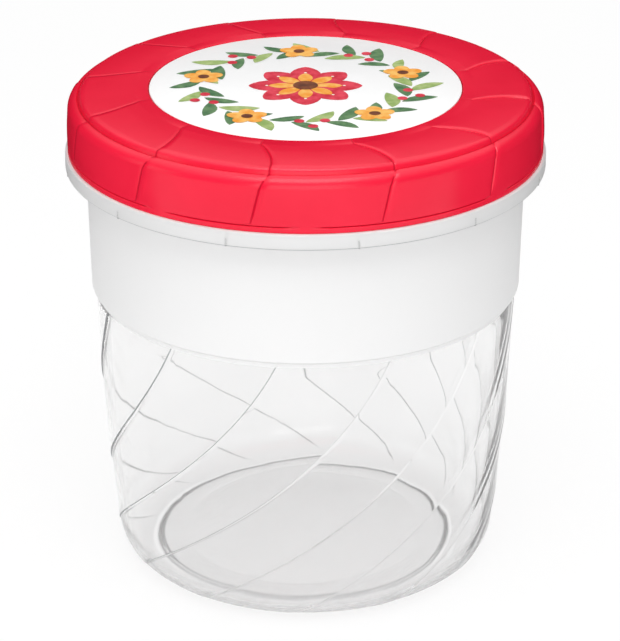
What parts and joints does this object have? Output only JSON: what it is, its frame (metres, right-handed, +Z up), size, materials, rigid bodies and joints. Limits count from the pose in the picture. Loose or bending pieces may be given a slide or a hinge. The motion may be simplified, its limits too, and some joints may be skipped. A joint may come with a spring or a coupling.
{
  "type": "food storage jar",
  "caption": "Round clear plastic food storage jar with a frosted upper band, twisted ridges, a collar and a red screw lid with a swirled rim and a round label.",
  "frame": {"origin": "centre of the foot ring, on the surface that the jar stands on", "axes": "+Z up along the jar's axis, -Y is the front, +X to the right of the front"},
  "size_m": [0.1232, 0.1232, 0.1291],
  "materials": {
    "clear_polypropylene": "clear moulded wall below, fine matte frosting on the upper band",
    "red_polypropylene": "satin moulded",
    "soft_seal": "soft matte",
    "printed_film": null
  },
  "bodies": {
    "tub": {"jar_body": "clear_polypropylene"},
    "seal": {"sealing_ring": "soft_seal"},
    "lid": {"screw_lid": "red_polypropylene", "label_disc": "printed_film"}
  },
  "joints": [
    {"name": "lid_lift", "type": "slide", "parent": "tub", "child": "seal", "axis": [0, 0, 1], "range_m": [0, 0.016]},
    {"name": "lid_turn", "type": "hinge", "parent": "seal", "child": "lid", "pos_m": [0, 0, 0.1134], "axis": [0, 0, 1], "range_deg": [0, 360]}
  ],
  "couplings": [
    {"joint": "lid_lift", "follows": "lid_turn", "m_per_rad": 0.0025464}
  ]
}
